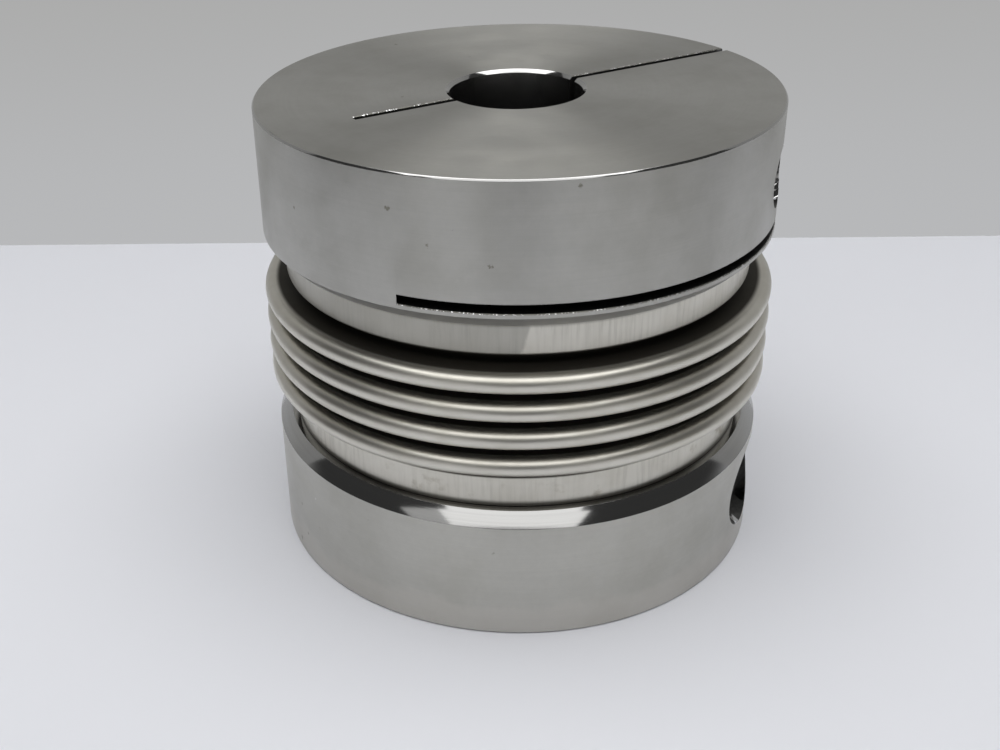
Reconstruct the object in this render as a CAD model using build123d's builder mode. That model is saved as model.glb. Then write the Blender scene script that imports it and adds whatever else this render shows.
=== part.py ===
from build123d import *
import math
import os

# A bellows coupling with two clamping hubs, in millimetres. The axis of rotation is Z. The coupling stands
# on the end face of its lower hub at z = 0, and +X points along the clamping slit of the upper hub, towards
# its open end, so that the upper clamp screw lies parallel to Y.

# ---- hubs ----
hub_diameter = 110.0
hub_width = 29.3
hub_bore = 28.0
hub_twist = -4.0  # the lower hub's slit from the upper hub's slit, degrees about Z
end_edge_chamfer = 0.65
inner_edge_chamfer = 2.7  # on the side that faces the bellows
bore_chamfer = 0.7

# ---- clamping cuts ----
slit_width = 1.8
slit_wall = 17.5  # metal left between the slit's blind end and the rim: the jaws' hinge
cross_slot_width = 1.8
cross_slot_wall = 10.0  # metal left between the cross slot's blind end and the rim
cross_slot_land = 0.9  # from the cross slot to the chamfer on the bellows side

# ---- clamp screws ----
screw_diameter = 12.0
screw_length = 45.0
screw_inset = 16.0  # screw axis from the hub's rim
head_diameter = 18.0
head_height = 12.0
head_recess = 0.85  # how far the head's outermost edge lies under the rim
hex_socket = 10.0
hex_socket_depth = 6.0
screw_edge = 0.8
head_clearance = 1.0  # all round the head, in its counterbore
shank_clearance = 0.75  # all round the shank, in the clear jaw
thread_clearance = 0.1  # all round the thread, in the tapped jaw

# ---- bellows ----
crest_count = 4
crest_width = 3.85  # outside width of one convolution
root_width = 2.3  # gap between two convolutions
crest_rise = 5.05  # from the cuffs' outside to the crests
root_drop = 4.2  # from the cuffs' outside down to the roots
bellows_wall = 0.7
crest_chamfer = 1.15  # the round of a crest, as flats
shoulder_chamfer = 1.3  # the round of a cuff's shoulder, as a flat
cuff_length = 7.25
cuff_ledge = 1.6  # flat ring of the hub left round the cuff
shoulder_clearance = 1.5  # from a spigot's end to the inside of the cuff's shoulder

# ---- sizes that follow ----
hub_radius = hub_diameter / 2
screw_offset = hub_radius - screw_inset
screw_height = hub_width / 2
head_reach = screw_offset + head_diameter / 2
screw_seat = math.sqrt(hub_radius**2 - head_reach**2) - head_recess - head_height  # from the slit's middle
cuff_radius = hub_radius - inner_edge_chamfer - cuff_ledge
crest_radius = cuff_radius + crest_rise
root_radius = cuff_radius - root_drop
spigot_radius = cuff_radius - bellows_wall
spigot_length = cuff_length - bellows_wall - shoulder_clearance
cross_slot_bottom = hub_width - inner_edge_chamfer - cross_slot_land  # from the end face
cross_slot_top = cross_slot_bottom - cross_slot_width
crest_pitch = crest_width + root_width
bellows_length = 2 * cuff_length + crest_count * crest_pitch + root_width
coupling_length = bellows_length + 2 * hub_width
middle = coupling_length / 2
crest_heights = [middle + (i - (crest_count - 1) / 2) * crest_pitch for i in range(crest_count)]

os.makedirs("parts", exist_ok=True)


def finish(piece, name):
    """Label a finished piece and write its file."""
    piece.label = name
    export_step(piece, f"parts/{name}.step")


# ---- clamping hub ----
# Drawn once, as the lower hub stands: end face on z = 0, spigot upwards. The jaw at -Y holds the screw's head
# and stays on the hub. The jaw at +Y is tapped, and the cross slot frees it so that it can be drawn in.
with BuildPart() as hub:
    with BuildSketch(Plane.XZ):
        with BuildLine():
            Polyline(
                (hub_bore / 2 + bore_chamfer, 0),
                (hub_radius - end_edge_chamfer, 0),
                (hub_radius, end_edge_chamfer),
                (hub_radius, hub_width - inner_edge_chamfer),
                (hub_radius - inner_edge_chamfer, hub_width),
                (spigot_radius, hub_width),
                (spigot_radius, hub_width + spigot_length),
                (hub_bore / 2 + bore_chamfer, hub_width + spigot_length),
                (hub_bore / 2, hub_width + spigot_length - bore_chamfer),
                (hub_bore / 2, bore_chamfer),
                close=True,
            )
        make_face()
    revolve(axis=Axis.Z)

    # clamping slit: open at +X, across the bore, blind at -X
    with BuildSketch(Plane.XY):
        with Locations((slit_wall - hub_radius, 0)):
            Rectangle(hub_diameter, slit_width, align=(Align.MIN, Align.CENTER))
    extrude(amount=cross_slot_bottom, mode=Mode.SUBTRACT)

    # cross slot: under the whole tapped jaw, from the slit outwards
    with BuildSketch(Plane.XY.offset(cross_slot_top)):
        with Locations((cross_slot_wall - hub_radius, -slit_width / 2)):
            Rectangle(hub_diameter, hub_diameter, align=(Align.MIN, Align.MIN))
    extrude(amount=cross_slot_width, mode=Mode.SUBTRACT)

    # screw hole: counterbored and clear in the -Y jaw, tapped in the +Y jaw
    with Locations(Plane((screw_offset, -hub_radius, screw_height), x_dir=(1, 0, 0), z_dir=(0, -1, 0))):
        CounterBoreHole(
            radius=screw_diameter / 2 + shank_clearance,
            counter_bore_radius=head_diameter / 2 + head_clearance,
            counter_bore_depth=hub_radius - screw_seat,
            depth=hub_radius,
        )
    with Locations(Plane((screw_offset, hub_radius, screw_height), x_dir=(1, 0, 0), z_dir=(0, 1, 0))):
        Hole(screw_diameter / 2, depth=hub_radius)

with BuildPart() as bottom_hub:
    add(hub.part, rotation=(0, 0, hub_twist))
finish(bottom_hub.part, "bottom_hub")

# the upper hub is the same piece, turned end over end about the slit
end_over_end = Location((0, 0, coupling_length), (180, 0, 0))
with BuildPart() as top_hub:
    with Locations(end_over_end):
        add(hub.part)
finish(top_hub.part, "top_hub")

# ---- clamp screw ----
# A hexagon socket head cap screw, drawn once where it sits in the lower hub, with its head towards -Y.
seat = Plane((screw_offset, -screw_seat, screw_height), x_dir=(1, 0, 0), z_dir=(0, -1, 0))
with BuildPart() as screw:
    with BuildSketch(seat):
        Circle(head_diameter / 2)
    extrude(amount=head_height)
    with BuildSketch(seat):
        Circle(screw_diameter / 2 - thread_clearance)
    extrude(amount=-screw_length)
    rims = screw.edges().filter_by(GeomType.CIRCLE).group_by(Axis.Y)
    chamfer(rims[0] + rims[-1], length=screw_edge)
    with BuildSketch(seat.offset(head_height)):
        RegularPolygon(hex_socket / 2, side_count=6, major_radius=False)
    extrude(amount=-hex_socket_depth, mode=Mode.SUBTRACT)

with BuildPart() as bottom_clamp_screw:
    add(screw.part, rotation=(0, 0, hub_twist))
finish(bottom_clamp_screw.part, "bottom_clamp_screw")

with BuildPart() as top_clamp_screw:
    with Locations(end_over_end):
        add(screw.part)
finish(top_clamp_screw.part, "top_clamp_screw")


# ---- bellows ----
# One corrugated tube: a cuff bonded round each spigot, a shoulder inside each cuff, and between them the
# convolutions.
def tube_outline(inset):
    """Half section of the tube's outside, or of its hollow where it is drawn smaller by the wall."""
    corner_inset = (2 - math.sqrt(2)) * inset  # leaves the wall as thick at a flat as beside it
    with BuildSketch() as outline:
        for end, inwards in ((hub_width, Align.MIN), (coupling_length - hub_width, Align.MAX)):
            with Locations((0, end)):
                Rectangle(cuff_radius - inset, cuff_length - inset, align=(Align.MIN, inwards))
        shoulders = outline.vertices().group_by(Axis.X)[-1].sort_by(Axis.Y)[1:-1]
        chamfer(shoulders, length=shoulder_chamfer - corner_inset)
        with Locations((0, middle)):
            Rectangle(root_radius - inset, bellows_length, align=(Align.MIN, Align.CENTER))
        with Locations([(0, height) for height in crest_heights]):
            Rectangle(crest_radius - inset, crest_width - 2 * inset, align=(Align.MIN, Align.CENTER))
        chamfer(outline.vertices().group_by(Axis.X)[-1], length=crest_chamfer - corner_inset)
    return outline.sketch


with BuildPart() as bellows:
    with BuildSketch(Plane.XZ):
        add(tube_outline(0))
        add(tube_outline(bellows_wall), mode=Mode.SUBTRACT)
    revolve(axis=Axis.Z)
finish(bellows.part, "bellows")
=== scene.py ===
import math

import bmesh
import bpy
from mathutils import Matrix, Vector


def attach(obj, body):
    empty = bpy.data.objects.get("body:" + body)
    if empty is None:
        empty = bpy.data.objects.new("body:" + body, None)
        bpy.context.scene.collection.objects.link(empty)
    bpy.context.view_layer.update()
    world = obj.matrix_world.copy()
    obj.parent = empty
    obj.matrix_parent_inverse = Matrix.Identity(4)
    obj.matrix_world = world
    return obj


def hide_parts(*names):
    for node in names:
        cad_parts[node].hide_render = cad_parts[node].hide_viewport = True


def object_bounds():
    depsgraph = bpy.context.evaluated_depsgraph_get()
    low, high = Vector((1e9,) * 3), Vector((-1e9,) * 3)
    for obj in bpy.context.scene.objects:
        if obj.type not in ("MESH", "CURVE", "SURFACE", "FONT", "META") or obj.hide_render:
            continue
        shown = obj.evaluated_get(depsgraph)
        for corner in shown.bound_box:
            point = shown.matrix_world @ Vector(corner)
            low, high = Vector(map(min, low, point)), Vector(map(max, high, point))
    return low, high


# A bellows coupling on a pale table. Two slotted clamping hubs of turned steel hold a bright corrugated tube
# between them, and each hub is tightened by a cap screw. Metres, with the axis of rotation on Z.

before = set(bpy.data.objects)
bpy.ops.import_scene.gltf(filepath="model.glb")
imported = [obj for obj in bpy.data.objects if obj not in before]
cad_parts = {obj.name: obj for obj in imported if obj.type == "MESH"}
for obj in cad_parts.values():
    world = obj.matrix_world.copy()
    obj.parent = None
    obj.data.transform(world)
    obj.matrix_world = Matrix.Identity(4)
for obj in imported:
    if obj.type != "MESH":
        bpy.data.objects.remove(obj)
cad_low, cad_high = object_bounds()

# ---- sizes, in metres ----
MM = 0.001
coupling_length = cad_high.z - cad_low.z
hub_radius = 55 * MM
hub_width = 29.3 * MM
hub_bore_radius = 14 * MM
hub_twist = math.radians(-4)
end_edge_chamfer = 0.34 * MM
end_edge_round = 0.11 * MM
inner_edge_chamfer = 2.7 * MM
bore_chamfer = 0.7 * MM
edge_break = 0.1 * MM
slit_half_width = 0.9 * MM
slit_end = -37.5 * MM
cross_slot_end = -45 * MM
cross_slot_low = 23.9 * MM
cross_slot_high = 25.7 * MM
slot_edge_break = 0.17 * MM
cuff_radius = 50.7 * MM
cuff_length = 7.25 * MM
cuff_gap = 0.1 * MM
shoulder_round = 0.7 * MM
wall = 0.7 * MM
crest_count = 4
crest_width = 3.85 * MM
root_width = 2.3 * MM
crest_radius = cuff_radius + 5.05 * MM
root_radius = cuff_radius - 4.2 * MM
spigot_radius = cuff_radius - wall
spigot_end = hub_width + 5.05 * MM
screw_offset = 39 * MM
screw_height = hub_width / 2
screw_seat = 14.0 * MM
head_radius = 9 * MM
head_height = 12 * MM
counterbore_radius = 10 * MM
clear_radius = 6.75 * MM
thread_radius = 6 * MM
thread_pitch = 1.75 * MM
thread_depth = 0.95 * MM
thread_clearance = 0.1 * MM
tapped_radius = 6.05 * MM
tapped_mouth_radius = 6.5 * MM
tapped_mouth_end = 37 * MM
shank_length = 45 * MM
# whole turns out from the screw's tip, so that the two threads mesh
thread_start = shank_length - screw_seat + 14 * thread_pitch
thread_crest = 0.12  # flat on a thread's crest and, below, its flank, as shares of half the pitch
thread_flank = 0.7
head_ease = 0.25 * MM
head_chamfer = 0.8 * MM
socket_half_width = 5 * MM
socket_depth = 6 * MM
socket_lip = 0.3 * MM  # flat round the hexagon, at the foot of its countersink
socket_mouth = 0.9 * MM  # the countersink's rim, from the hexagon's flats
socket_countersink = 0.6 * MM
bore_edge_break = 0.04 * MM
past_rim = 1.2 * hub_radius  # how far the cutters reach out of a hub
sharp_angle = math.radians(32)  # faces that meet at more than this have a crisp edge between them
weld_distance = 1e-7
tiny = 1e-9

# ---- how many steps go round ----
hub_steps = 384
bellows_steps = 288
head_steps = 240
slot_mouth_steps = 220  # through part of a turn
hole_steps = 96
clear_steps = 72

# the upper hub and its screw are the lower ones turned end over end, and not twisted
LOWER = Matrix.Identity(4)
UPPER = Matrix.Translation((0, 0, coupling_length)) @ Matrix.Rotation(math.pi, 4, "X")


# ---- meshes ----
def shade(bm):
    """Smooth shading, broken along the sharp edges."""
    for face in bm.faces:
        face.smooth = True
    for edge in bm.edges:
        edge.smooth = len(edge.link_faces) == 2 and edge.calc_face_angle(math.pi) < sharp_angle


def new_piece(name, bm):
    """An object from a bmesh, which is freed."""
    bmesh.ops.recalc_face_normals(bm, faces=bm.faces)
    shade(bm)
    mesh = bpy.data.meshes.new(name)
    bm.to_mesh(mesh)
    bm.free()
    piece = bpy.data.objects.new(name, mesh)
    bpy.context.scene.collection.objects.link(piece)
    return piece


def eased(corners, steps=3):
    """A closed outline from (radius, height, ease) corners, each rounded off by its ease."""
    outline = []
    for i, (radius, height, ease) in enumerate(corners):
        here = Vector((radius, height))
        if not ease:
            outline.append(here)
            continue
        back = (Vector(corners[i - 1][:2]) - here).normalized()
        on = (Vector(corners[(i + 1) % len(corners)][:2]) - here).normalized()
        reach = ease / math.tan(back.angle(on) / 2)
        for k in range(steps + 1):
            u = k / steps
            outline.append(here + back * reach * (1 - u) ** 2 + on * reach * u**2)
    return outline


def turned(outline, steps, start=0.0, sweep=math.tau):
    """A closed outline of (radius, height) points turned about Z, all the way round or part of it."""
    bm = bmesh.new()
    whole = sweep == math.tau
    stops = steps if whole else steps + 1
    rings = []
    for radius, height in outline:
        if radius < tiny:
            rings.append([bm.verts.new((0, 0, height))] * stops)
            continue
        turns = [start + sweep * j / steps for j in range(stops)]
        rings.append([bm.verts.new((radius * math.cos(a), radius * math.sin(a), height)) for a in turns])
    for ring, above in zip(rings, rings[1:] + rings[:1]):
        for j in range(steps):
            k = (j + 1) % stops
            corners = list(dict.fromkeys((ring[j], ring[k], above[k], above[j])))
            if len(corners) > 2:
                bm.faces.new(corners)
    if not whole:
        bm.faces.new([ring[0] for ring in rings])
        bm.faces.new([ring[-1] for ring in rings])
    return bm


def threaded(radius, depth, pitch, length, steps=hole_steps, per_pitch=10):
    """A right-handed threaded rod along Z from 0 to its length, with flat ends."""
    bm = bmesh.new()
    rows = int(length / pitch * per_pitch) + 1
    rings = []
    for i in range(rows):
        height = length * i / (rows - 1)
        ring = []
        for j in range(steps):
            turn = j / steps
            phase = (height / pitch - turn) % 1.0
            from_crest = abs(phase - 0.5) * 2
            fall = min(max((from_crest - thread_crest) / thread_flank, 0.0), 1.0)
            r = radius - depth * fall
            ring.append(bm.verts.new((r * math.cos(math.tau * turn), r * math.sin(math.tau * turn), height)))
        rings.append(ring)
    for ring, above in zip(rings, rings[1:]):
        for j in range(steps):
            k = (j + 1) % steps
            bm.faces.new((ring[j], ring[k], above[k], above[j]))
    bm.faces.new(rings[0])
    bm.faces.new(rings[-1])
    return bm


def drilled(radius, depth, steps):
    """A plain round cutter along Z from 0 to its depth, or a prism where its steps are few."""
    return turned([(0, 0), (radius, 0), (radius, depth), (0, depth)], steps)


def block(low, high):
    """A rectangular block between two corners."""
    bm = bmesh.new()
    bmesh.ops.create_cube(bm, size=1)
    for vert in bm.verts:
        vert.co = [low[i] if vert.co[i] < 0 else high[i] for i in range(3)]
    return bm


def slit_block():
    """The slit's cutter: a plate with flared lips where it breaks through the end face."""
    bm = bmesh.new()
    lip = slot_edge_break
    section = [
        (-slit_half_width - 2 * lip, -lip), (slit_half_width + 2 * lip, -lip), (slit_half_width, lip),
        (slit_half_width, cross_slot_high), (-slit_half_width, cross_slot_high), (-slit_half_width, lip),
    ]
    ends = [[bm.verts.new((x, y, z)) for y, z in section] for x in (slit_end, past_rim)]
    for j in range(len(section)):
        k = (j + 1) % len(section)
        bm.faces.new((ends[0][j], ends[0][k], ends[1][k], ends[1][j]))
    bm.faces.new(ends[0])
    bm.faces.new(ends[1])
    return bm


def cut(piece, cutters):
    """Takes each cutter's shape out of the piece."""
    for bm in cutters:
        tool = new_piece("cutter", bm)
        modifier = piece.modifiers.new("cut", "BOOLEAN")
        modifier.operation = "DIFFERENCE"
        modifier.solver = "EXACT"
        modifier.object = tool
        bpy.context.view_layer.update()
        solved = piece.evaluated_get(bpy.context.evaluated_depsgraph_get())
        result = bpy.data.meshes.new_from_object(solved)
        piece.modifiers.clear()
        piece.data = result
        bpy.data.objects.remove(tool)
    bm = bmesh.new()
    bm.from_mesh(piece.data)
    bmesh.ops.remove_doubles(bm, verts=bm.verts, dist=weld_distance)
    shade(bm)
    bm.to_mesh(piece.data)
    bm.free()


def along_screw(bm, start):
    """Lays a cutter or blank made along Z on the lower screw's axis, from a distance out towards its head."""
    lay_down = Matrix.Rotation(math.pi / 2, 4, "X")
    bm.transform(Matrix.Translation((screw_offset, -start, screw_height)) @ lay_down)
    return bm


# ---- hubs ----
SATIN, BRIGHT, CHAMFER, BORE, SAWN, HOLE, THREAD, BURR = range(8)
level_normal = 0.97  # a face whose normal's Z is over this lies square to the axis
sloping_normal = 0.2  # and one over this slopes
facing = 0.9  # a face whose normal's part away from or towards the axis is over this lies along the axis
close = 0.02 * MM


def hub_finish(centre, normal):
    """Which finish a face of the lower hub has, from its place and the way it looks."""
    radius = math.hypot(centre.x, centre.y)
    outwards = (centre.x * normal.x + centre.y * normal.y) / max(radius, tiny)
    level = abs(normal.z) > level_normal
    tilted = sloping_normal < abs(normal.z) < level_normal
    off_slot = min(abs(centre.z - cross_slot_low), abs(centre.z - cross_slot_high))
    off_screw = math.hypot(centre.x - screw_offset, centre.z - screw_height)
    if tilted and centre.z < slot_edge_break and abs(centre.y) < 1.5 * slit_half_width:
        return BURR
    if tilted and off_slot < 2.2 * slot_edge_break and radius > hub_radius - 1.2 * slot_edge_break:
        return BURR
    if tilted and outwards > sloping_normal and hub_width - 1.1 * inner_edge_chamfer < centre.z < hub_width:
        return CHAMFER
    if tilted and abs(outwards) > sloping_normal:
        return BRIGHT
    if radius > hub_radius - 0.2 * MM and outwards > facing:
        return SATIN
    if level and centre.z < close:
        return SATIN
    if level and abs(centre.z - hub_width) < close:
        return BRIGHT
    if radius < hub_bore_radius + 0.1 * MM and outwards < -facing:
        return BORE
    if off_screw < counterbore_radius + 0.2 * MM and abs(centre.y) > 1.2 * slit_half_width:
        return THREAD if centre.y > 0 and off_screw < tapped_radius + 0.1 * MM else HOLE
    return SAWN


def make_hub(name, place, twist, finishes):
    """A clamping hub, made as the lower one stands: turned, slit, slotted, drilled and tapped."""
    corners = [
        (hub_bore_radius + bore_chamfer, 0, bore_edge_break),
        (hub_radius - end_edge_chamfer, 0, end_edge_round),
        (hub_radius, end_edge_chamfer, end_edge_round),
        (hub_radius, hub_width - inner_edge_chamfer, edge_break),
        (hub_radius - inner_edge_chamfer, hub_width, edge_break),
        (spigot_radius, hub_width, 0),
        (spigot_radius, spigot_end, 0),
        (hub_bore_radius + bore_chamfer, spigot_end, edge_break),
        (hub_bore_radius, spigot_end - bore_chamfer, edge_break),
        (hub_bore_radius, bore_chamfer, bore_edge_break),
    ]
    piece = new_piece(name, turned(eased(corners), hub_steps))
    lip = slot_edge_break
    slot_mouth = [
        (hub_radius - lip, cross_slot_low),
        (hub_radius + lip, cross_slot_low - 2 * lip),
        (hub_radius + lip, cross_slot_high + 2 * lip),
        (hub_radius - lip, cross_slot_high),
    ]
    start = math.asin(-slit_half_width / hub_radius)
    sweep = math.acos(cross_slot_end / hub_radius) - start
    slot_corners = (cross_slot_end, -slit_half_width, cross_slot_low), (past_rim, past_rim, cross_slot_high)
    tapped_mouth = drilled(tapped_mouth_radius, hub_radius - tapped_mouth_end, hole_steps)
    cut(piece, [
        slit_block(),
        block(*slot_corners),
        turned(slot_mouth, slot_mouth_steps, start, sweep),
        along_screw(drilled(counterbore_radius, hub_radius, hole_steps), screw_seat),
        along_screw(drilled(clear_radius, hub_radius, clear_steps), 0),
        along_screw(threaded(tapped_radius, thread_depth, thread_pitch, thread_start), -thread_start),
        along_screw(tapped_mouth, -hub_radius),
    ])
    for finish in finishes:
        piece.data.materials.append(finish)
    for polygon in piece.data.polygons:
        polygon.material_index = hub_finish(polygon.center, polygon.normal)
    piece.data.transform(Matrix.Rotation(twist, 4, "Z"))
    piece.matrix_world = place
    return piece


# ---- clamp screws ----
def make_screw(name, place, twist, finish):
    """A socket head cap screw, where it sits in the lower hub, with a threaded shank and a tapered tip."""
    head = turned(eased([
        (0, 0, 0),
        (head_radius - 2.2 * head_ease, 0, head_ease),
        (head_radius, 2.2 * head_ease, head_ease),
        (head_radius, head_height - head_chamfer, head_ease),
        (head_radius - head_chamfer, head_height, head_ease),
        (socket_half_width + socket_mouth, head_height, edge_break),
        (socket_half_width + socket_lip, head_height - socket_countersink, 0),
        (0, head_height - socket_countersink, 0),
    ]), head_steps)
    head_piece = new_piece(name, head)
    hexagon = drilled(socket_half_width / math.cos(math.pi / 6), socket_depth + MM, 6)
    bmesh.ops.translate(hexagon, verts=hexagon.verts, vec=(0, 0, head_height - socket_depth))
    cut(head_piece, [hexagon])
    head_mesh = head_piece.data

    rod_radius = thread_radius - thread_clearance
    shank = threaded(rod_radius, thread_depth, thread_pitch, shank_length)
    bmesh.ops.translate(shank, verts=shank.verts, vec=(0, 0, -shank_length))
    for vert in shank.verts:
        from_tip = max(vert.co.z + shank_length, 0)
        radius = math.hypot(vert.co.x, vert.co.y)
        room = rod_radius - thread_depth + from_tip
        if radius > room:
            vert.co.x *= room / radius
            vert.co.y *= room / radius
    bmesh.ops.recalc_face_normals(shank, faces=shank.faces)
    shank_mesh = bpy.data.meshes.new("shank")
    shank.to_mesh(shank_mesh)
    shank.free()

    both = bmesh.new()
    both.from_mesh(head_mesh)
    both.from_mesh(shank_mesh)
    along_screw(both, screw_seat)
    bpy.data.objects.remove(head_piece)
    bpy.data.meshes.remove(head_mesh)
    bpy.data.meshes.remove(shank_mesh)
    piece = new_piece(name, both)
    piece.data.materials.append(finish)
    piece.data.transform(Matrix.Rotation(twist, 4, "Z"))
    piece.matrix_world = place
    return piece


# ---- bellows ----
def arc(centre, radius, start, end, steps):
    """Points and outward directions on an arc, in the half section's (radius, height) plane."""
    found = []
    for k in range(steps + 1):
        a = math.radians(start + (end - start) * k / steps)
        along = Vector((math.cos(a), math.sin(a)))
        found.append((centre + along * radius, along))
    return found


def bellows_outline():
    """The tube's half section: its outside from the lower cuff to the upper one, then its inside back."""
    fold_steps, shoulder_steps = 14, 8
    half = wall / 2
    crest_mid = crest_width / 2 - half
    root_mid = root_width / 2 + half
    shoulder_mid = shoulder_round - half
    cuff_mid = cuff_radius - half
    height = hub_width + cuff_length - half
    middle = [(Vector((cuff_mid, hub_width + cuff_gap)), Vector((1, 0)))]
    shoulder = Vector((cuff_mid - shoulder_mid, height - shoulder_mid))
    middle += arc(shoulder, shoulder_mid, 0, 90, shoulder_steps)
    for i in range(crest_count + 1):
        root = Vector((root_radius - half + root_mid, height + root_mid))
        middle += [(p, -n) for p, n in arc(root, root_mid, 270, 90, fold_steps)]
        height += 2 * root_mid
        if i < crest_count:
            crest = Vector((crest_radius - half - crest_mid, height + crest_mid))
            middle += arc(crest, crest_mid, -90, 90, fold_steps)
            height += 2 * crest_mid
    top = coupling_length - hub_width
    shoulder = Vector((cuff_mid - shoulder_mid, height + shoulder_mid))
    middle += arc(shoulder, shoulder_mid, -90, 0, shoulder_steps)
    middle.append((Vector((cuff_mid, top - cuff_gap)), Vector((1, 0))))
    outside = [p + n * half for p, n in middle]
    inside = [p - n * half for p, n in reversed(middle)]
    return outside + inside


# ---- material tools ----
def new_group(name, inputs, outputs):
    """An empty shader node group. Returns the tree, its input node and its output node."""
    tree = bpy.data.node_groups.new(name, "ShaderNodeTree")
    for label, kind, value in inputs:
        socket = tree.interface.new_socket(name=label, in_out="INPUT", socket_type=kind)
        socket.default_value = value
    for label, kind in outputs:
        tree.interface.new_socket(name=label, in_out="OUTPUT", socket_type=kind)
    return tree, tree.nodes.new("NodeGroupInput"), tree.nodes.new("NodeGroupOutput")


def put(tree, kind, inputs=None, **settings):
    """Adds a node, sets its options and feeds its sockets with values or links."""
    node = tree.nodes.new(kind)
    for label, value in settings.items():
        setattr(node, label, value)
    for label, value in (inputs or {}).items():
        if isinstance(value, bpy.types.NodeSocket):
            tree.links.new(value, node.inputs[label])
        else:
            node.inputs[label].default_value = value
    return node


def calc(tree, operation, *values):
    """A Math node's result."""
    return put(tree, "ShaderNodeMath", dict(enumerate(values)), operation=operation).outputs[0]


def times(tree, a, b):
    """The product of two values."""
    return calc(tree, "MULTIPLY", a, b)


def plus(tree, a, b):
    """The sum of two values."""
    return calc(tree, "ADD", a, b)


def ramp(tree, value, low, high, to_low=0.0, to_high=1.0):
    """A smooth step between two limits."""
    node = put(tree, "ShaderNodeMapRange", {0: value, 1: low, 2: high, 3: to_low, 4: to_high},
               interpolation_type="SMOOTHSTEP")
    return node.outputs[0]


def noise(tree, vector, scale, detail, roughness):
    """A noise texture's value."""
    return put(tree, "ShaderNodeTexNoise",
               {"Vector": vector, "Scale": scale, "Detail": detail, "Roughness": roughness}).outputs["Fac"]


def mixed(tree, factor, a, b):
    """A colour that goes from the first to the second as the factor goes from 0 to 1."""
    node = put(tree, "ShaderNodeMix", {0: factor}, data_type="RGBA", blend_type="MIX")
    for socket, value in ((node.inputs[6], a), (node.inputs[7], b)):
        if isinstance(value, bpy.types.NodeSocket):
            tree.links.new(value, socket)
        else:
            socket.default_value = value
    return node.outputs[2]


def grey(value, warmth=0.0):
    """A grey that is yellower by its warmth."""
    return (value * (1 + 0.2 * warmth), value, value * (1 - warmth), 1)


def spot(tree):
    """The place on a piece, in the piece's own axes."""
    return put(tree, "ShaderNodeTexCoord").outputs["Object"]


def from_axis(tree):
    """The place's X, Y and Z, its level line from the axis and how long that is."""
    axes = put(tree, "ShaderNodeSeparateXYZ", {0: spot(tree)}).outputs
    flat = put(tree, "ShaderNodeCombineXYZ", {0: axes[0], 1: axes[1]}).outputs[0]
    radius = put(tree, "ShaderNodeVectorMath", {0: flat}, operation="LENGTH").outputs["Value"]
    return axes, flat, radius


def turning_group():
    """Fine lines left by a lathe tool: rings on the end faces and on the rim, and broader bands of them."""
    rim_rate = 1.7  # lines to a length of the rim, for each on an end face
    line_drift, band_drift = 1.2, 2.2  # how much they change on the way round
    band_rate = 0.06  # bands for each line
    tree, given, made = new_group(
        "turning_lines",
        [("Spacing", "NodeSocketFloat", 0.0004), ("Seed", "NodeSocketFloat", 0.0)],
        [("Lines", "NodeSocketFloat"), ("Bands", "NodeSocketFloat")])
    axes, flat, radius = from_axis(tree)
    travel = plus(tree, radius, times(tree, axes[2], rim_rate))
    step = plus(tree, calc(tree, "DIVIDE", travel, given.outputs["Spacing"]), given.outputs["Seed"])
    away = put(tree, "ShaderNodeVectorMath", {0: flat}, operation="NORMALIZE").outputs[0]
    turn = put(tree, "ShaderNodeSeparateXYZ", {0: away}).outputs

    def wound(drift, across):
        """A place in the noise that moves fast across the lines and slowly along them."""
        place = {0: times(tree, turn[0], drift), 1: times(tree, turn[1], drift), 2: across}
        return put(tree, "ShaderNodeCombineXYZ", place).outputs[0]

    tool_lines = noise(tree, wound(line_drift, step), 1.0, 2.0, 0.6)
    bands = noise(tree, wound(band_drift, times(tree, step, band_rate)), 1.0, 3.0, 0.5)
    tree.links.new(tool_lines, made.inputs["Lines"])
    tree.links.new(bands, made.inputs["Bands"])
    return tree


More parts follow.
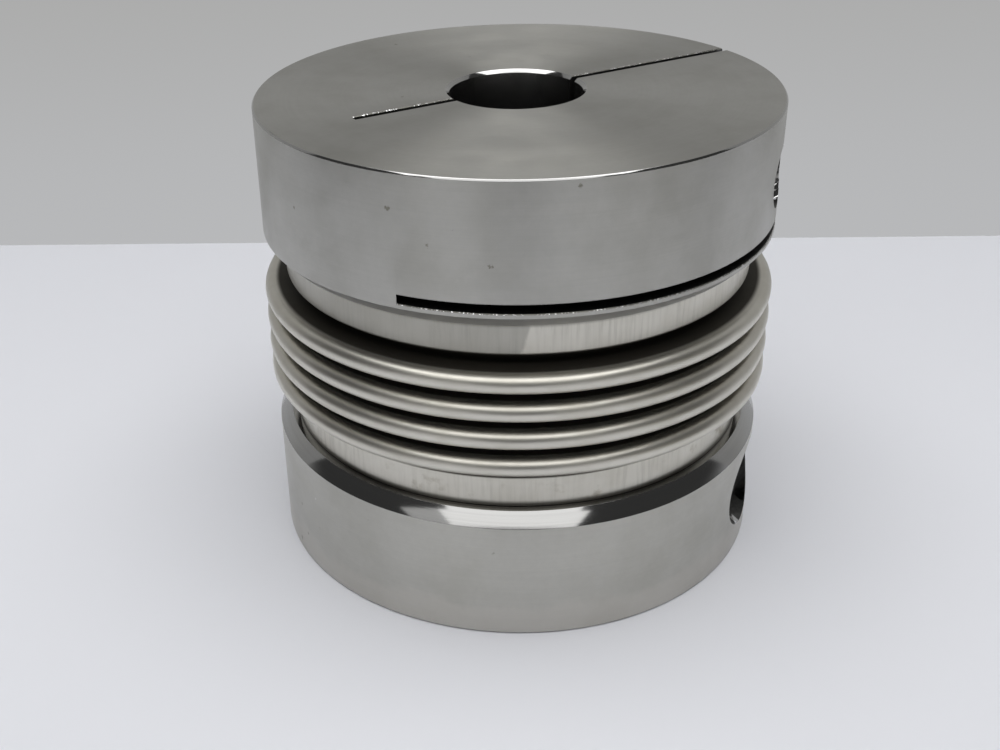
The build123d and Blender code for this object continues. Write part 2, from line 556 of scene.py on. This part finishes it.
def handling_group():
    """Marks from handling: faint clouds, a fine mottle, small ragged dark specks and bright nicks."""
    mottle_scale, speck_scale, ragged_scale = 620.0, 220.0, 1500.0
    speck_size, raggedness, speck_edge = 0.09, 0.4, 0.06
    speck_share, nick_share = 0.1, 0.04
    tree, given, made = new_group(
        "handling_marks",
        [("Size", "NodeSocketFloat", 0.01), ("Seed", "NodeSocketFloat", 0.0)],
        [("Clouds", "NodeSocketFloat"), ("Mottle", "NodeSocketFloat"), ("Specks", "NodeSocketFloat"),
         ("Nicks", "NodeSocketFloat")])
    shift = put(tree, "ShaderNodeCombineXYZ", {0: given.outputs["Seed"]}).outputs[0]
    moved = put(tree, "ShaderNodeVectorMath", {0: spot(tree), 1: shift}, operation="ADD").outputs[0]
    cloud_scale = calc(tree, "DIVIDE", 1.0, given.outputs["Size"])
    clouds = ramp(tree, noise(tree, moved, cloud_scale, 5.0, 0.6), 0.35, 0.75)
    mottle = noise(tree, moved, mottle_scale, 4.0, 0.65)

    # one speck or nick at most to a cell
    cells = put(tree, "ShaderNodeTexVoronoi", {"Vector": moved, "Scale": speck_scale}, feature="F1").outputs
    pick = put(tree, "ShaderNodeSeparateColor", {0: cells["Color"]}).outputs
    ragged = calc(tree, "SUBTRACT", noise(tree, moved, ragged_scale, 3.0, 0.7), 0.5)
    reach = calc(tree, "SUBTRACT", times(tree, pick[1], speck_size), times(tree, ragged, raggedness))
    specks = ramp(tree, calc(tree, "SUBTRACT", cells["Distance"], reach), 0.0, speck_edge, 1.0, 0.0)
    specks = times(tree, specks, calc(tree, "GREATER_THAN", pick[0], 1 - speck_share))
    nicks = ramp(tree, cells["Distance"], 0.04, 0.09, 1.0, 0.0)
    nicks = times(tree, nicks, calc(tree, "LESS_THAN", pick[0], nick_share))
    for label, value in (("Clouds", clouds), ("Mottle", mottle), ("Specks", specks), ("Nicks", nicks)):
        tree.links.new(value, made.inputs[label])
    return tree


turning_lines = turning_group()
handling_marks = handling_group()


# ---- finishes ----
def new_material(name):
    """A material with its node tree and its Principled shader."""
    material = bpy.data.materials.new(name)
    material.use_nodes = True
    tree = material.node_tree
    return material, tree, tree.nodes["Principled BSDF"]


def effect(tree, group, **values):
    """Places an effect group in a material with its own values, and returns its outputs."""
    node = put(tree, "ShaderNodeGroup", {}, node_tree=group)
    for label, value in values.items():
        node.inputs[label].default_value = value
    return node.outputs


def over(tree, colour, paint, mask, share):
    """A colour with a paint laid over it where the mask is, at a share of its full strength."""
    return mixed(tree, times(tree, mask, share), colour, paint)


def set_metal(tree, shader, colour, roughness, height, depth, strength, anisotropic=0.0):
    """Feeds a metal's colour, roughness and bump, and lines up its grain round the axis."""
    shader.inputs["Metallic"].default_value = 1.0
    shader.inputs["Anisotropic"].default_value = anisotropic
    shader.inputs["Anisotropic Rotation"].default_value = 0.25
    tree.links.new(colour, shader.inputs["Base Color"])
    tree.links.new(roughness, shader.inputs["Roughness"])
    if anisotropic:
        tangent = put(tree, "ShaderNodeTangent", direction_type="RADIAL", axis="Z").outputs[0]
        tree.links.new(tangent, shader.inputs["Tangent"])
    bump = put(tree, "ShaderNodeBump", {"Strength": strength, "Distance": depth, "Height": height})
    tree.links.new(bump.outputs[0], shader.inputs["Normal"])


def make_turned_steel(name, tone, spread, seed, rough, anisotropic, warmth, lighter_foot=False):
    """Satin turned steel with tool lines, cloudy handling marks and a few specks."""
    material, tree, shader = new_material(name)
    tool = effect(tree, turning_lines, Seed=seed, Spacing=0.6 * MM)
    dirt = effect(tree, handling_marks, Seed=seed, Size=12 * MM)
    colour = mixed(tree, tool["Bands"], grey(tone * (1 - spread), warmth), grey(tone * (1 + spread), warmth))
    colour = over(tree, colour, grey(tone * 0.75, warmth), tool["Lines"], 0.4)
    colour = over(tree, colour, grey(tone * 0.7, warmth), dirt["Mottle"], 0.4)
    colour = over(tree, colour, grey(tone * 0.68, 0.12), dirt["Clouds"], 0.26)
    # lighter and warmer towards the foot, where asked
    if lighter_foot:
        place = spot(tree)
        height = put(tree, "ShaderNodeSeparateXYZ", {0: place}).outputs[2]
        wander = times(tree, noise(tree, place, 90.0, 4.0, 0.6), 9 * MM)
        foot = ramp(tree, plus(tree, height, wander), 9.5 * MM, 13 * MM, 1.0, 0.0)
        colour = over(tree, colour, (tone * 1.1, tone * 1.05, tone * 0.97, 1), foot, 0.4)
    colour = over(tree, colour, grey(tone * 0.25, 0.35), dirt["Specks"], 0.65)
    colour = over(tree, colour, grey(tone * 1.5), dirt["Nicks"], 0.5)
    roughness = plus(tree, rough - 0.06, times(tree, tool["Bands"], 0.12))
    roughness = plus(tree, roughness, times(tree, dirt["Clouds"], 0.06))
    set_metal(tree, shader, colour, roughness, tool["Lines"], 0.03 * MM, 0.5, anisotropic)
    return material


def make_bright_steel(name, tone, seed, rough):
    """A bright finishing cut: chamfers, ledge, bore and threads."""
    warmth = 0.02
    material, tree, shader = new_material(name)
    tool = effect(tree, turning_lines, Seed=seed, Spacing=0.3 * MM)
    colour = mixed(tree, tool["Lines"], grey(tone, warmth), grey(tone * 0.85, warmth))
    roughness = plus(tree, rough, times(tree, tool["Bands"], 0.05))
    set_metal(tree, shader, colour, roughness, tool["Lines"], 0.01 * MM, 0.4, anisotropic=0.3)
    return material


def make_rough_steel(name, light, dark, rough, size, depth, strength):
    """Steel in dull clouds, without a grain: sawn and drilled walls, and the screws' dark skin."""
    material, tree, shader = new_material(name)
    clouds = effect(tree, handling_marks, Size=size)["Clouds"]
    colour = mixed(tree, clouds, light, dark)
    roughness = plus(tree, rough, times(tree, clouds, 0.15))
    set_metal(tree, shader, colour, roughness, clouds, depth, strength)
    return material


def make_burr_glint_steel(name):
    """The saw's torn lips, with painted glints: bright flecks between dark gaps."""
    material, tree, shader = new_material(name)
    clouds = effect(tree, handling_marks, Seed=4.4, Size=20 * MM)["Clouds"]
    fleck = ramp(tree, noise(tree, spot(tree), 2600.0, 1.0, 0.5), 0.5, 0.64)
    glints = times(tree, fleck, ramp(tree, clouds, 0.05, 0.4))
    colour = mixed(tree, glints, grey(0.2, 0.1), grey(0.95))
    roughness = calc(tree, "SUBTRACT", 0.45, times(tree, glints, 0.2))
    set_metal(tree, shader, colour, roughness, fleck, 0.08 * MM, 0.8)
    return material


def make_bellows_steel(name):
    """Bright drawn stainless tube, faintly warm, with brushed, stained cuffs, painted shade where they meet
    the hubs, a painted reflection on the upper one and painted shade deep in its folds.
    """
    # among these colours are a painted reflection's dark, and painted shade for the joints and the folds
    dim, bright, film = (0.60, 0.58, 0.52, 1), (0.70, 0.68, 0.62, 1), (0.42, 0.39, 0.31, 1)
    brushed, reflection_dark_colour, blotted = (0.33, 0.315, 0.27, 1), (0.27, 0.265, 0.24, 1), (0.24, 0.2, 0.13, 1)
    joint_shade_colour, fold_shade_colour = (0.1, 0.09, 0.075, 1), (0.03, 0.025, 0.018, 1)
    cuff_end = coupling_length / 2 - hub_width  # from the middle, as the next
    fold_end = cuff_end - cuff_length
    material, tree, shader = new_material(name)
    tool = effect(tree, turning_lines, Seed=3.7, Spacing=0.5 * MM)
    dirt = effect(tree, handling_marks, Seed=8.1, Size=8 * MM)
    place = spot(tree)
    axes, _, radius = from_axis(tree)
    from_middle = calc(tree, "ABSOLUTE", calc(tree, "SUBTRACT", axes[2], coupling_length / 2))
    colour = mixed(tree, tool["Bands"], dim, bright)
    colour = over(tree, colour, film, dirt["Clouds"], 0.2)

    # cuffs: brushed up and down in patches
    on_cuff = ramp(tree, from_middle, fold_end - 0.9 * MM, fold_end + 0.1 * MM)
    drawn_out = {0: axes[0], 1: axes[1], 2: times(tree, axes[2], 0.06)}
    drawn_out = put(tree, "ShaderNodeCombineXYZ", drawn_out).outputs[0]
    brush = ramp(tree, noise(tree, drawn_out, 1300.0, 3.0, 0.6), 0.4, 0.75)
    patches = ramp(tree, noise(tree, place, 70.0, 2.0, 0.5), 0.35, 0.65, 0.08, 0.42)
    colour = mixed(tree, times(tree, times(tree, on_cuff, patches), brush), colour, brushed)

    # the upper one darker on one side of a slanted edge, a painted reflection
    slant = put(tree, "ShaderNodeVectorMath", {0: place, 1: (-0.87, 0.49, 0.33)}, operation="DOT_PRODUCT")
    wander = times(tree, dirt["Clouds"], 1.2 * MM)
    reflection_side = ramp(tree, plus(tree, slant.outputs["Value"], wander), 21.6 * MM, 22.4 * MM)
    upper = ramp(tree, axes[2], 62 * MM, 63 * MM)
    colour = over(tree, colour, reflection_dark_colour, times(tree, reflection_side, upper), 0.55)

    # both darkened with painted shade where they meet the hubs, and blots on the lower one
    joint_shade = ramp(tree, from_middle, cuff_end - 1.5 * MM, cuff_end - 0.4 * MM)
    colour = over(tree, colour, joint_shade_colour, joint_shade, 0.75)
    blot = ramp(tree, noise(tree, place, 170.0, 4.0, 0.6), 0.56, 0.74)
    lower = ramp(tree, axes[2], 33 * MM, 36 * MM, 1.0, 0.0)
    colour = over(tree, colour, blotted, times(tree, blot, lower), 0.6)

    # folds: painted shade in their depths
    in_folds = ramp(tree, from_middle, fold_end + 0.2 * MM, fold_end + 0.8 * MM, 1.0, 0.0)
    deep = ramp(tree, radius, 52.4 * MM, 53.6 * MM, 1.0, 0.0)
    fold_shade = times(tree, in_folds, deep)
    colour = over(tree, colour, fold_shade_colour, fold_shade, 0.93)
    roughness = plus(tree, 0.35, times(tree, dirt["Clouds"], 0.05))
    roughness = plus(tree, roughness, times(tree, fold_shade, 0.3))
    set_metal(tree, shader, colour, roughness, tool["Lines"], 0.006 * MM, 0.3, anisotropic=0.4)
    return material


upper_steel = make_turned_steel("upper_turned_steel", 0.495, 0.11, 1.3, 0.31, 0.85, 0.06)
lower_steel = make_turned_steel("lower_turned_steel", 0.55, 0.08, 5.9, 0.32, 0.8, 0.07, lighter_foot=True)
bright_steel = make_bright_steel("bright_cut_steel", 0.47, 2.1, 0.07)
duller_steel = make_bright_steel("duller_cut_steel", 0.62, 7.3, 0.3)
bore_steel = make_bright_steel("bore_steel", 0.36, 9.6, 0.2)
thread_steel = make_bright_steel("thread_steel", 0.7, 3.3, 0.12)
# painted shade: the sawn and drilled walls inside the slit, the slots and the holes get a very dark steel
shaded_wall_light, shaded_wall_dark = grey(0.12, 0.02), grey(0.072, 0.04)
sawn_steel = make_rough_steel("sawn_steel", shaded_wall_light, shaded_wall_dark, 0.4, 2 * MM, 0.04 * MM, 0.6)
hole_steel = make_rough_steel("drilled_steel", shaded_wall_light, shaded_wall_dark, 0.4, 2 * MM, 0.04 * MM, 0.6)
burr_glint_steel = make_burr_glint_steel("burr_glint_steel")
bellows_steel = make_bellows_steel("bellows_steel")
skin_light, skin_dark = grey(0.24, 0.02), grey(0.13, 0.03)
screw_steel = make_rough_steel("screw_steel", skin_light, skin_dark, 0.32, 3 * MM, 0.02 * MM, 0.4)

# in the order of the finishes' numbers
cut_finishes = (bore_steel, sawn_steel, hole_steel, thread_steel, burr_glint_steel)
lower_finishes = (lower_steel, bright_steel, bright_steel) + cut_finishes
upper_finishes = (upper_steel, bright_steel, duller_steel) + cut_finishes

# ---- the coupling ----
lower_hub = make_hub("lower_hub", LOWER, hub_twist, lower_finishes)
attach(lower_hub, "root")
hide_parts("bottom_hub")

upper_hub = make_hub("upper_hub", UPPER, 0, upper_finishes)
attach(upper_hub, "root")
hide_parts("top_hub")

tube = new_piece("bellows_tube", turned(bellows_outline(), bellows_steps))
tube.data.materials.append(bellows_steel)
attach(tube, "root")
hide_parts("bellows")

lower_screw = make_screw("lower_screw", LOWER, hub_twist, screw_steel)
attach(lower_screw, "root")
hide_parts("bottom_clamp_screw")

upper_screw = make_screw("upper_screw", UPPER, 0, screw_steel)
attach(upper_screw, "root")
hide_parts("top_clamp_screw")

# ---- table and wall ----
# These, the lamps and the camera are laid out for someone who stands at -Y and looks along +Y, and are then
# turned about Z.
stand_turn = math.radians(-31.4)
STAND = Matrix.Rotation(stand_turn, 4, "Z")
table_reach = 3
wall_reach, wall_height = 0.6, 0.5
wall_distance, wall_skew = 0.1565, 0.0096
wall_left, wall_right = wall_distance - wall_skew, wall_distance + wall_skew


def plain_board(name, corners, colour, rough):
    """A flat sheet of one plain colour."""
    mesh = bpy.data.meshes.new(name)
    mesh.from_pydata([STAND @ Vector(c) for c in corners], [], [(0, 1, 2, 3)])
    board = bpy.data.objects.new(name, mesh)
    bpy.context.scene.collection.objects.link(board)
    material, tree, shader = new_material(name)
    shader.inputs["Base Color"].default_value = colour
    shader.inputs["Roughness"].default_value = rough
    shader.inputs["Specular IOR Level"].default_value = 0.2
    board.data.materials.append(material)
    return board, tree, shader


def ray_kinds(tree):
    """1 for rays from the camera, and 1 for rays that metal or glass sends on."""
    ray = put(tree, "ShaderNodeLightPath").outputs
    return ray["Is Camera Ray"], calc(tree, "MAXIMUM", ray["Is Glossy Ray"], ray["Is Transmission Ray"])


plain_board(
    "table",
    [(-table_reach, -table_reach, 0), (table_reach, -table_reach, 0),
     (table_reach, table_reach, 0), (-table_reach, table_reach, 0)],
    (0.765, 0.775, 0.812, 1), 0.6)
backdrop, tree, shader = plain_board(
    "backdrop",
    [(-wall_reach, wall_left, 0), (wall_reach, wall_right, 0),
     (wall_reach, wall_right, wall_height), (-wall_reach, wall_left, wall_height)],
    (0.5, 0.5, 0.5, 1), 0.8)
backdrop.visible_shadow = False

# the wall's tone shows to the camera and in the metal, with painted light: a little lighter at its foot and
# duller far out
place = spot(tree)
height = put(tree, "ShaderNodeSeparateXYZ", {0: place}).outputs[2]
tone = mixed(tree, ramp(tree, height, 0.0, 0.12), (0.475, 0.48, 0.49, 1), (0.40, 0.40, 0.395, 1))
middle = STAND @ Vector((0, wall_distance, 0))
out = put(tree, "ShaderNodeVectorMath", {0: place, 1: middle}, operation="DISTANCE").outputs["Value"]
tone = mixed(tree, ramp(tree, out, 0.3, 0.5), tone, (0.35, 0.35, 0.35, 1))
plain = put(tree, "ShaderNodeEmission", {"Color": tone}).outputs[0]
to_camera, to_metal = ray_kinds(tree)
shown = calc(tree, "MAXIMUM", to_camera, to_metal)
front = put(tree, "ShaderNodeMixShader", {0: shown, 1: shader.outputs[0], 2: plain}).outputs[0]

# it is seen from its front only, so that the coupling can be looked at from behind
see_through = put(tree, "ShaderNodeBsdfTransparent").outputs[0]
side = put(tree, "ShaderNodeNewGeometry").outputs["Backfacing"]
choice = put(tree, "ShaderNodeMixShader", {0: side, 1: front, 2: see_through})
tree.links.new(choice.outputs[0], tree.nodes["Material Output"].inputs["Surface"])


# ---- lamps ----
def soft_box(name, x, y, width, depth, watts):
    """A rectangular lamp that faces straight down."""
    lamp_height = 1.0
    lamp = bpy.data.lights.new(name, "AREA")
    lamp.shape = "RECTANGLE"
    lamp.size = width
    lamp.size_y = depth
    lamp.energy = watts
    box = bpy.data.objects.new(name, lamp)
    bpy.context.scene.collection.objects.link(box)
    down = Vector((0, 0, -lamp_height)).to_track_quat("-Z", "Y").to_matrix().to_4x4()
    box.matrix_world = STAND @ Matrix.Translation((x, y, lamp_height)) @ down


soft_box("overhead_box", 0, -0.005, 1.15, 0.55, 5.8)
soft_box("front_box", 0, -0.415, 0.92, 0.27, 1.223)
soft_box("far_box", 0, -0.735, 1.08, 0.37, 1.9)
soft_box("side_box", -0.74, -0.735, 0.4, 0.37, 0.28)

# ---- room ----
# The metal mirrors a room of light and dark stretches along the horizon, under a dark ceiling. Each stretch is
# given by its bearing in degrees, its brightness and its warmth.
stretches = [
    (-180, 0.04, 0.0), (-164, 0.08, 0.0), (-148, 0.25, 0.0), (-136, 0.4, 0.0), (-122, 0.75, 0.0),
    (-108, 0.6, 0.0), (-96, 0.04, 0.0), (-82, 0.0, 0.0), (-72, 0.45, 0.0), (-52, 0.6, 0.0),
    (-36, 0.5, 0.05), (-22, 0.2, 0.25), (-10, 0.12, 0.25), (-2, 0.0, 0.1), (6, 0.45, 0.0),
    (30, 0.9, -0.05), (90, 0.42, 0.0), (140, 0.9, 0.0), (160, 0.6, 0.0), (172, 0.12, 0.0),
]
ceiling = (0.055, 0.055, 0.055, 1)
ceiling_from, ceiling_full = 0.12, 0.44  # as the height of a line of sight that is 1 long
room_light = (0.33, 0.33, 0.335, 1)
far_wall = (0.42, 0.425, 0.43, 1)

world = bpy.data.worlds.new("room")
bpy.context.scene.world = world
world.use_nodes = True
tree = world.node_tree
direction = put(tree, "ShaderNodeTexCoord").outputs["Generated"]
from_stand = put(tree, "ShaderNodeVectorRotate", {"Vector": direction, "Angle": -stand_turn},
                 rotation_type="Z_AXIS").outputs[0]
toward = put(tree, "ShaderNodeSeparateXYZ", {0: from_stand}).outputs
bearing = calc(tree, "ARCTAN2", toward[1], toward[0])
round_room = put(tree, "ShaderNodeValToRGB", {0: plus(tree, calc(tree, "DIVIDE", bearing, math.tau), 0.5)})
stops = round_room.color_ramp.elements
while len(stops) < len(stretches):
    stops.new(0.5)
for stop, (degrees, brightness, warmth) in zip(stops, stretches):
    stop.position = (degrees + 180) / 360
    stop.color = grey(brightness, warmth)
high_up = ramp(tree, toward[2], ceiling_from, ceiling_full)
mirrored_room = mixed(tree, high_up, round_room.outputs[0], ceiling)
to_camera, to_metal = ray_kinds(tree)
surround = mixed(tree, to_metal, room_light, mirrored_room)
surround = mixed(tree, to_camera, surround, far_wall)
tree.links.new(surround, tree.nodes["Background"].inputs["Color"])

# ---- camera ----
eye_back, eye_height = 4.8308 * hub_radius, 3.2244 * hub_radius
yaw, pitch, roll = -0.0841, 0.5143, -0.0362
camera = bpy.data.cameras.new("camera")
camera.sensor_width = 36.0
camera.lens = 1.2873722 * camera.sensor_width
camera.shift_x = 0.080
camera.shift_y = 0.0181
eye = bpy.data.objects.new("camera", camera)
bpy.context.scene.collection.objects.link(eye)
ahead = Vector((math.sin(yaw) * math.cos(pitch), math.cos(yaw) * math.cos(pitch), -math.sin(pitch)))
right = Vector((math.cos(yaw), -math.sin(yaw), 0))
up = right.cross(ahead)
right, up = right * math.cos(roll) + up * math.sin(roll), up * math.cos(roll) - right * math.sin(roll)
turn = Matrix((right, up, -ahead)).transposed().to_4x4()
eye.matrix_world = STAND @ Matrix.Translation((0, -eye_back, eye_height)) @ turn
bpy.context.scene.camera = eye
bpy.context.scene.view_settings.view_transform = "Standard"
